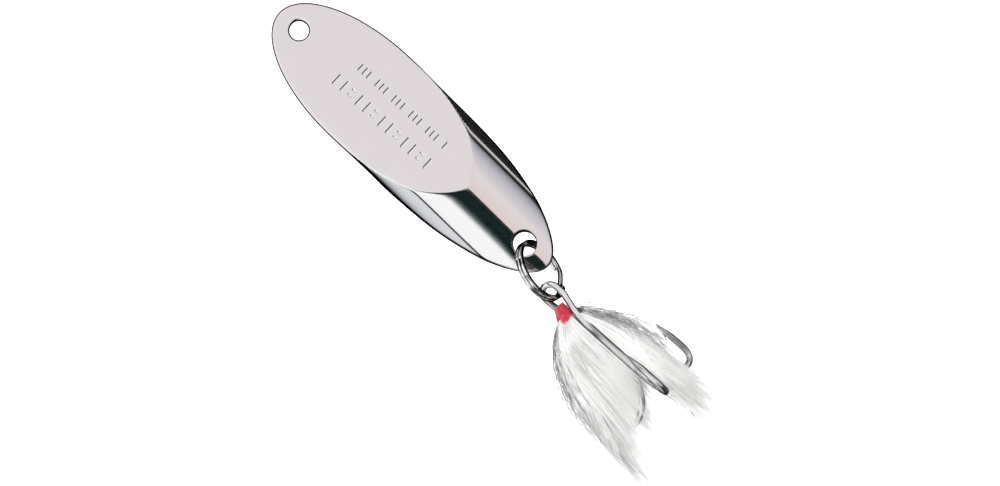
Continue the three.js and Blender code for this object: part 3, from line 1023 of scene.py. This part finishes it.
# ------------------------------------------------------------------ hair
# FAN rows: distance down from the hinge, left edge, right edge, middle towards the back, half
# depth. ENDS rows: place across the fan (-1 left to 1 right), how far down the strands reach.
LEFT_FAN = [
    (2.5, -2.6, -0.2, 0.2, 0.75), (4.0, -4.9, -0.1, 0.0, 0.95), (6.0, -6.8, 0.0, -0.3, 1.2),
    (9.8, -8.8, 0.4, -0.7, 1.55), (13.2, -9.9, 0.7, -1.0, 1.75), (17.0, -10.6, 0.5, -1.2, 1.8),
    (20.8, -11.2, -0.4, -1.3, 1.6), (25.3, -11.8, -1.8, -1.3, 1.3), (29.0, -12.2, -3.0, -1.2, 1.0),
]
LEFT_ENDS = [(-1, 24.2), (-0.57, 22.6), (-0.24, 20.6), (0.1, 18.2), (0.6, 15.6), (1, 13.6)]
RIGHT_FAN = [
    (2.5, -0.9, 0.2, 0.6, 0.5), (4.0, -0.2, 1.2, 0.4, 0.6), (6.1, 0.0, 2.1, 0.1, 0.75),
    (8.0, 0.1, 3.2, -0.1, 0.85), (10.8, 0.2, 4.1, -0.4, 0.95), (13.8, 0.5, 4.5, -0.7, 1.05),
    (17.0, 0.8, 4.4, -1.0, 1.15), (19.5, 0.8, 4.7, -1.2, 1.2), (22.0, 0.7, 5.5, -1.35, 1.2),
    (24.5, 0.4, 6.3, -1.4, 1.15), (28.0, -0.1, 7.2, -1.4, 1.0),
]
RIGHT_ENDS = [(-1, 25.0), (-0.4, 24.6), (0.2, 22.8), (1, 19.8)]
REAR_FAN = [
    (2.5, -1.5, -0.1, 1.0, 0.5), (4.5, -1.8, 0.9, 1.5, 0.6), (8.0, -2.6, 1.6, 2.3, 0.8),
    (13.0, -3.6, 1.9, 3.0, 1.0), (17.0, -4.6, 2.2, 3.6, 1.1), (20.0, -5.4, 2.4, 4.2, 1.2),
    (24.0, -6.2, 2.6, 4.4, 1.2), (28.0, -7.0, 2.8, 4.3, 1.1),
]
REAR_ENDS = [(-1, 21.0), (-0.3, 19.2), (0.3, 17.6), (1, 17.0)]
TURN = 6.28  # one turn, for waves and random phases
STRAND_SIDES = 3
ALONG_LEN = 24.0


def in_section(angle, radius):
    x, y = radius * np.cos(angle), radius * np.sin(angle)
    return np.sign(x) * np.abs(x) ** 0.85, y


def loosen(rng, wild, place, t, phase, X, Y, down):
    """Loose fibres drift out past the fan's edges and curl."""
    k = len(place)
    drift = rng.uniform(-0.9, 2.0, (k, 1)) * wild
    rise = rng.uniform(0.25, 1.3, (k, 1))
    curl = rng.uniform(0.12, 0.55, (k, 1)) * wild
    waves = rng.uniform(1.2, 4.2, (k, 1))
    angle = t * TURN * waves + phase
    X = X + np.sign(place)[:, None] * drift * t**rise + curl * np.sin(angle) * np.minimum(1, t * 2)
    Y = Y + rng.normal(0, wild * 0.7, (k, 1)) * t**1.5 + curl * np.cos(angle) * t
    return X, Y, down + curl * 0.8 * np.cos(t * TURN * waves * 1.3) * t


def behind_shanks(X, Y, down):
    """Strands pass behind the shanks, never through them."""
    gap = np.abs(X)
    limit = np.where(
        gap < 1.2, np.sqrt(np.maximum(1.69 - gap**2, 0.25)), 0.5 - (gap - 1.2) * 1.7
    )
    fade = np.clip((down - 2.6) / 1.6, 0, 1)
    return np.where(Y < limit, Y * (1 - fade) + limit * fade + (Y - limit) * 0.12 * fade, Y)


def cross_front(rng, front, place, X, Y, down):
    """Some strands cross in front of the shank on their own side, beside the front one."""
    k = len(place)
    hand = np.sign(front)
    pick = ((rng.uniform(0, 1, k) < abs(front)) & (place * hand < 0.35))[:, None]
    lead = np.clip((down - 2.9) / 1.2, 0, 1)
    front_x = hand * np.maximum(X * hand, 0.6 + 0.12 * rng.uniform(0, 1, (k, 1)))
    front_y = -0.52 - 0.75 * rng.uniform(0, 1, (k, 1)) ** 1.5 - 0.02 * down
    X = np.where(pick, X * (1 - lead) + front_x * lead, X)
    Y = np.where(pick, Y * (1 - lead) + front_y * lead, Y)
    return X, Y


def hair_bundle(fan, ends, k, seed, thick, ragged, seg=7, rim=0.0, wild=0.0, reach=1.0,
                right_share=0.5, front=0.0):
    """Points and radii of k strands that run down a fan, with waves and clumps.

    ragged: spread of the lengths. rim: least squared radius in the section. wild: looseness.
    right_share: share of loose fibres at the right edge. front: share that crosses in front,
    signed by side.
    """
    rng = np.random.default_rng(seed)
    rows, left_edge, right_edge, middle, depth = np.array(fan, float).T
    angle = rng.uniform(0, 2 * math.pi, k)
    if wild:
        # loose fibres belong to the two edges of the fan
        angle = rng.choice([0.0, math.pi], k, p=[right_share, 1 - right_share])
        angle = angle + rng.normal(0, 0.6, k)
    px, py = in_section(angle, np.sqrt(rng.uniform(rim, 1, k)))
    # clumps: strands pull to a shared place towards the tips
    clumps = max(8, k // 30)
    angle = rng.uniform(0, 2 * math.pi, clumps)
    cx, cy = in_section(angle, np.sqrt(rng.uniform(0, 1, clumps)))
    near = ((px[:, None] - cx[None]) ** 2 + (py[:, None] - cy[None]) ** 2).argmin(1)
    pull = rng.uniform(0.15, 0.75, k) if not wild else rng.uniform(0.0, 0.15, k)
    clump_len = rng.normal(0, 1, clumps)
    full = np.interp(px, *np.array(ends, float).T) * reach - rows[0]
    length = full * (1 + ragged * (0.7 * clump_len[near] + 0.7 * rng.normal(0, 1, k)))
    # some short strands end inside the bundle
    short = rng.uniform(0, 1, k) < 0.22
    length = np.where(short, length * rng.uniform(0.55, 0.92, k), length)
    length = np.minimum(length, full * 1.2)
    t = np.linspace(0, 1, seg + 1)[None]
    down = rows[0] + length[:, None] * t
    at = np.clip(down, rows[0], rows[-1])
    left, right = np.interp(at, rows, left_edge), np.interp(at, rows, right_edge)
    f = (t**1.5) * pull[:, None]
    ux = px[:, None] * (1 - f) + cx[near][:, None] * f
    uy = py[:, None] * (1 - f) + cy[near][:, None] * f
    # a slow wave and a quicker, smaller one
    slow = rng.normal(0, 0.2, (k, 1)) * t
    quick_wave = rng.normal(0, 0.09, (k, 1)) * t
    slow_count = rng.uniform(0.5, 1.3, (k, 1))
    phase = rng.uniform(0, TURN, (k, 1))
    quick_count = rng.uniform(1.6, 2.6, (k, 1))
    X = (left + right) / 2 + ux * (right - left) / 2 + slow * np.sin(t * TURN * slow_count + phase)
    X = X + quick_wave * np.sin(t * TURN * quick_count + phase * 2)
    Y = np.interp(at, rows, middle) + uy * np.interp(at, rows, depth)
    Y = Y + quick_wave * 1.6 * np.cos(t * TURN * slow_count + phase * 1.7)
    if wild:
        X, Y, down = loosen(rng, wild, px, t, phase, X, Y, down)
    Y = behind_shanks(X, Y, down)
    if front:
        X, Y = cross_front(rng, front, px, X, Y, down)
    points = PIVOT + HOOK_DOWN * down[..., None] + RIGHT * X[..., None] + Y_AXIS * Y[..., None]
    return points, thick * rng.uniform(0.7, 1.25, k)


def strands_to_mesh(name, points, radii):
    """Each strand as a tapering three-sided tube."""
    k, n, _ = points.shape
    sides = STRAND_SIDES
    t = np.gradient(points, axis=1)
    t /= np.linalg.norm(t, axis=2)[..., None] + 1e-12
    u = np.cross(t, Y_AXIS[None, None])
    u /= np.linalg.norm(u, axis=2)[..., None] + 1e-12
    v = np.cross(t, u)
    taper = (1 - np.linspace(0, 1, n) ** 1.4) * 0.88 + 0.12
    taper[-1] = 0.04
    a = (np.arange(sides) * 2 * math.pi / sides)[None, None, :, None]
    offset = u[:, :, None, :] * np.cos(a) + v[:, :, None, :] * np.sin(a)
    scale = radii[:, None, None, None] * taper[None, :, None, None]
    verts = (points[:, :, None, :] + offset * scale).reshape(-1, 3)
    base = (np.arange(k) * n * sides)[:, None, None, None]
    i = np.arange(n - 1)[None, :, None, None] * sides
    j = np.arange(sides)[None, None, :, None]
    A = base + i + j
    B = base + i + (j + 1) % sides
    C = B + sides
    D = A + sides
    root = (np.arange(k) * n * sides)[:, None]
    tris = np.vstack([
        np.concatenate([A, D, C], 3).reshape(-1, 3),
        np.concatenate([A, C, B], 3).reshape(-1, 3),
        root + np.array([[0, 1, 2]]),
        root + (n - 1) * sides + np.array([[2, 1, 0]]),
    ])
    return fast_mesh(name, verts, tris)


def add_hair(name, points, radii, material, part=None):
    ob = strands_to_mesh(name, points, radii)
    ob.data.materials.append(material)
    down = (points - PIVOT) @ HOOK_DOWN
    along = np.repeat(np.clip(down / ALONG_LEN, 0, 1).reshape(-1), STRAND_SIDES)
    point_attribute(ob, "along", along)
    if part:
        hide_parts(part)
    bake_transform(ob)


density = 1.0
# side, fan, ends, strands, loose fibres, seed, right share of the loose, front share, material
for side, fan, ends, strands, loose, seed, right_share, front, material in (
    ("left", LEFT_FAN, LEFT_ENDS, 4200, 200, 21, 0.3, -0.5, HAIR),
    ("right", RIGHT_FAN, RIGHT_ENDS, 2500, 180, 22, 0.66, 0.5, HAIR_PAINTED_SHADE),
    ("rear", REAR_FAN, REAR_ENDS, 1900, 60, 23, 0.5, 0.0, HAIR_PAINTED_SHADE),
):
    body_name = "hair_" + side
    points, radii = hair_bundle(
        fan, ends, int(strands * density), seed, thick=0.06, ragged=0.15, front=front
    )
    add_hair(body_name + "_strands", points, radii, material, "hair_bundle_" + side)
    points, radii = hair_bundle(
        fan, ends, int(loose * density), seed + 40, thick=0.044, ragged=0.2, seg=20,
        rim=0.55, wild=1.15, reach=1.07, right_share=right_share,
    )
    if side == "right":
        # a few long loose fibres curl out towards the right hook
        far, far_radii = hair_bundle(
            fan, ends, 34, seed + 80, thick=0.042, ragged=0.2, seg=20,
            rim=0.7, wild=2.1, reach=0.86, right_share=0.93,
        )
        points, radii = np.concatenate([points, far]), np.concatenate([radii, far_radii])
    add_hair(body_name + "_stray", points, radii, HAIR_GREY)

# ------------------------------------------------------------------ backdrop
FLOOR_HALF, FLOOR_Y = 600, 70


def build_floor():
    """A pale sheet behind the lure, seen from the front only."""
    corners = [(x * FLOOR_HALF, FLOOR_Y, z * FLOOR_HALF)
               for x, z in ((-1, -1), (1, -1), (1, 1), (-1, 1))]
    floor = make_mesh("pale_floor", corners, [(0, 1, 2, 3)], smooth=False)
    material, tree, bsdf = new_material("pale_floor")
    set_inputs(tree, bsdf, {
        "Base Color": (0.95, 0.95, 0.95, 1),
        "Roughness": 0.9,
        "Emission Color": (1, 1, 1, 1),
        "Emission Strength": 0.55,
    })
    shader = node(tree, "ShaderNodeMixShader", {
        "Fac": tree.nodes.new("ShaderNodeNewGeometry").outputs["Backfacing"],
        1: bsdf.outputs["BSDF"],
        2: tree.nodes.new("ShaderNodeBsdfTransparent").outputs["BSDF"],
    })
    feed(tree, tree.nodes["Material Output"].inputs["Surface"], shader.outputs["Shader"])
    floor.data.materials.append(material)
    floor.visible_glossy = False
    floor.visible_shadow = False


build_floor()

# ------------------------------------------------------------------ world
# The world is the studio: pale walls and dark flags, seen only in reflections.
# WALLS stops: azimuth in degrees (0 in front of the face, + to the right), colour
LOW_WALLS = [
    (-180, (0.30, 0.31, 0.32)), (-150, (0.06, 0.065, 0.07)), (-128, (0.26, 0.28, 0.30)),
    (-108, (0.62, 0.64, 0.67)), (-92, (0.72, 0.74, 0.78)), (-82, (0.66, 0.68, 0.71)),
    (-79, (0.015, 0.02, 0.02)), (-66, (0.015, 0.02, 0.02)), (-63, (0.98, 0.99, 1.0)),
    (-40, grey(1.02)), (-36, (0.12, 0.15, 0.16)), (-31, (0.002, 0.008, 0.008)),
    (-22, (0.006, 0.018, 0.017)), (-13, (0.002, 0.006, 0.006)), (-6, grey(0.5)),
    (4, (0.77, 0.68, 0.68)), (24, (0.76, 0.675, 0.665)), (44, (0.78, 0.74, 0.74)),
    (59, (0.55, 0.54, 0.59)), (66, (0.34, 0.34, 0.37)), (71, (0.008, 0.01, 0.01)),
    (97, (0.01, 0.012, 0.012)), (100, (0.9, 0.80, 0.62)), (103, grey(0.015)),
    (130, (0.10, 0.10, 0.11)), (180, (0.62, 0.63, 0.64)),
]
HIGH_WALLS = [
    (-180, (0.30, 0.30, 0.31)), (-150, (0.05, 0.05, 0.055)), (-134, (0.16, 0.17, 0.18)),
    (-112, (0.52, 0.54, 0.57)), (-96, (0.72, 0.74, 0.77)), (-60, grey(1.0)),
    (-25, (0.95, 0.94, 0.95)), (-4, (0.79, 0.757, 0.77)), (14, (0.785, 0.745, 0.76)),
    (35, (0.80, 0.77, 0.78)), (60, (0.95, 0.95, 0.96)), (80, (0.30, 0.30, 0.32)),
    (95, (0.02, 0.02, 0.025)), (125, (0.08, 0.08, 0.09)), (180, (0.70, 0.70, 0.71)),
]
# where the low left wall stays in front of the dark rear
LEFT_WALL = [(-160, grey(0)), (-145, grey(1)), (-70, grey(1)), (-60, grey(0))]
# REAR stops: degrees away from straight behind (+Y), colour
REAR_LEFT = [
    (0, (0.66, 0.65, 0.66)), (16, (0.60, 0.60, 0.61)), (22, (0.05, 0.05, 0.055)),
    (46, (0.02, 0.02, 0.022)), (50, (0.55, 0.56, 0.58)), (60, (0.50, 0.51, 0.53)),
    (64, (0.02, 0.02, 0.022)), (115, (0.02, 0.02, 0.022)),
]
REAR_RIGHT = [
    (0, (0.66, 0.65, 0.66)), (16, (0.60, 0.60, 0.61)), (22, (0.05, 0.05, 0.055)),
    (40, (0.012, 0.012, 0.014)), (79.8, (0.012, 0.012, 0.014)), (80.8, (0.86, 0.80, 0.70)),
    (82.8, (0.90, 0.87, 0.80)), (83.8, (0.34, 0.34, 0.35)), (89.5, (0.24, 0.24, 0.25)),
    (91.5, (0.012, 0.012, 0.014)), (115, (0.012, 0.012, 0.014)),
]
OVERHEAD = (1.25, 1.25, 1.27, 1)
UNDERFOOT = (0.03, 0.03, 0.035, 1)
SOFT_LIGHT = 0.79  # strength of the plain white that lights the soft surfaces


def studio_colour(tree):
    coords = tree.nodes.new("ShaderNodeTexCoord").outputs["Generated"]
    axes = node(tree, "ShaderNodeSeparateXYZ", {"Vector": coords}).outputs

    def calc(operation, *values):
        return math_node(tree, operation, *values)

    azimuth = calc("ARCTAN2", axes["X"], calc("MULTIPLY", axes["Y"], -1.0))
    azimuth = calc("ADD", calc("DIVIDE", azimuth, 2 * math.pi), 0.5)
    elevation = calc("ADD", calc("DIVIDE", calc("ARCSINE", axes["Z"]), math.pi), 0.5)
    from_rear = calc("ARCCOSINE", calc("MULTIPLY", axes["Y"], 0.9999))

    def round_ramp(stops):
        return ramp(tree, azimuth, [(0.5 + d / 360.0, c) for d, c in stops])

    def rear_ramp(stops):
        place = calc("DIVIDE", from_rear, math.pi)
        return ramp(tree, place, [(d / 180, c) for d, c in stops])

    def height(start, end, to=(0.0, 1.0)):
        """Rises from one elevation in degrees to the other."""
        return map_range(tree, elevation, 0.5 + start / 180, 0.5 + end / 180, to)

    low, high = round_ramp(LOW_WALLS), round_ramp(HIGH_WALLS)
    room = mix_colour(tree, height(-20, -8), low, high)
    room = mix_colour(tree, height(28, 48), room, OVERHEAD)
    room = mix_colour(tree, height(-40, -50), room, UNDERFOOT)
    on_right = map_range(tree, axes["X"], 0.0, 0.1, kind="LINEAR")
    rear = mix_colour(tree, on_right, rear_ramp(REAR_LEFT), rear_ramp(REAR_RIGHT))
    # the dark rear starts nearer the front above the lure than below it, and leaves the wall
    # low on the left
    lift = height(-25, -12, to=(0.0, math.radians(22)))
    keep_wall = calc("MULTIPLY", round_ramp(LEFT_WALL), height(2.5, -2))
    lifted = calc("SUBTRACT", from_rear, lift)
    is_rear = map_range(tree, lifted, math.radians(90), math.radians(80))
    is_rear = calc("MULTIPLY", is_rear, calc("SUBTRACT", 1.0, keep_wall))
    return mix_colour(tree, is_rear, room, rear)


def build_world():
    """Mirror rays see the studio, soft rays a plain white, the camera pure white."""
    world = bpy.data.worlds.new("studio")
    bpy.context.scene.world = world
    world.use_nodes = True
    tree = world.node_tree
    for old in list(tree.nodes):
        tree.nodes.remove(old)

    def background(colour, strength):
        inputs = {"Color": colour, "Strength": strength}
        return node(tree, "ShaderNodeBackground", inputs).outputs["Background"]

    def choose(factor, a, b):
        mix = node(tree, "ShaderNodeMixShader", {"Fac": factor, 1: a, 2: b})
        return mix.outputs["Shader"]

    studio = background(studio_colour(tree), 1.0)
    soft = background((1, 1, 1, 1), SOFT_LIGHT)
    white = background((1, 1, 1, 1), 1.0)
    rays = tree.nodes.new("ShaderNodeLightPath").outputs
    shader = choose(rays["Is Glossy Ray"], soft, studio)
    shader = choose(rays["Is Camera Ray"], shader, white)
    node(tree, "ShaderNodeOutputWorld", {"Surface": shader})


build_world()

# ------------------------------------------------------------------ lamps and camera
LAMP_AIM = (-3, 0, -30)


def add_lamp(name, where, size, power):
    """A square area lamp that mirrors and the camera don't see."""
    light = bpy.data.lights.new(name, "AREA")
    light.shape = "RECTANGLE"
    light.size = light.size_y = size * MM
    light.energy = power
    light.color = (1, 1, 1)
    lamp = bpy.data.objects.new(name, light)
    lamp.location = Vector(where) * MM
    direction = (Vector(LAMP_AIM) - Vector(where)).normalized()
    lamp.rotation_mode = "QUATERNION"
    lamp.rotation_quaternion = direction.to_track_quat("-Z", "Y")
    bpy.context.scene.collection.objects.link(lamp)
    lamp.visible_camera = False
    lamp.visible_glossy = False


add_lamp("key", where=(-180, -260, 160), size=220, power=0.9)
add_lamp("fill", where=(240, -200, -60), size=260, power=0.3)

CAM_TARGET = np.array([-2.607, 0.0, BODY_TOP - 44.008])
CAM_DIST = 378.5
CAM_AZ, CAM_EL, CAM_ROLL = math.radians(4.09), math.radians(-3.51), math.radians(46.95)


def add_camera():
    data = bpy.data.cameras.new("camera")
    data.type = "PERSP"
    data.lens = 100
    data.sensor_width = 36
    data.clip_start, data.clip_end = 0.01, 10
    camera = add_object("camera", data)
    bpy.context.scene.camera = camera
    back = np.array([
        -math.sin(CAM_AZ) * math.cos(CAM_EL),
        -math.cos(CAM_AZ) * math.cos(CAM_EL),
        math.sin(CAM_EL),
    ])
    place = CAM_TARGET + back * CAM_DIST
    across = unit(np.cross(np.array([math.sin(CAM_ROLL), 0, math.cos(CAM_ROLL)]), back))
    up = np.cross(back, across)
    rows = [(across[i], up[i], back[i], place[i] * MM) for i in range(3)]
    camera.matrix_world = Matrix(rows + [(0, 0, 0, 1)])


add_camera()

view = bpy.context.scene.view_settings
view.view_transform = "Standard"
view.look = "None"
view.exposure = 0
view.gamma = 1
